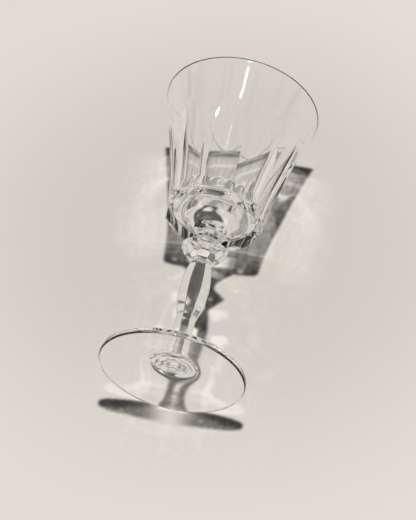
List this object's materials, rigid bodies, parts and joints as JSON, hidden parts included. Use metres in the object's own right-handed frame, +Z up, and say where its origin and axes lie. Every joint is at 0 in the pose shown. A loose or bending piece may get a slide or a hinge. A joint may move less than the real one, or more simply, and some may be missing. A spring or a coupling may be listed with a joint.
{
  "type": "stemmed wine glass",
  "caption": "Clear crystal wine glass with a flat-panelled bowl that turns smooth and flares at the rim, a diamond-cut knop, a faceted stem and a round foot.",
  "frame": {"origin": "centre of the foot's underside, on the table", "axes": "+Z up along the axis of the glass, from the foot to the rim"},
  "size_m": [0.079, 0.079, 0.1605],
  "materials": {
    "crystal": "fire-polished"
  },
  "bodies": {
    "root": {"foot": "crystal", "stem": "crystal", "knop": "crystal", "neck": "crystal", "bowl": "crystal"}
  },
  "joints": []
}
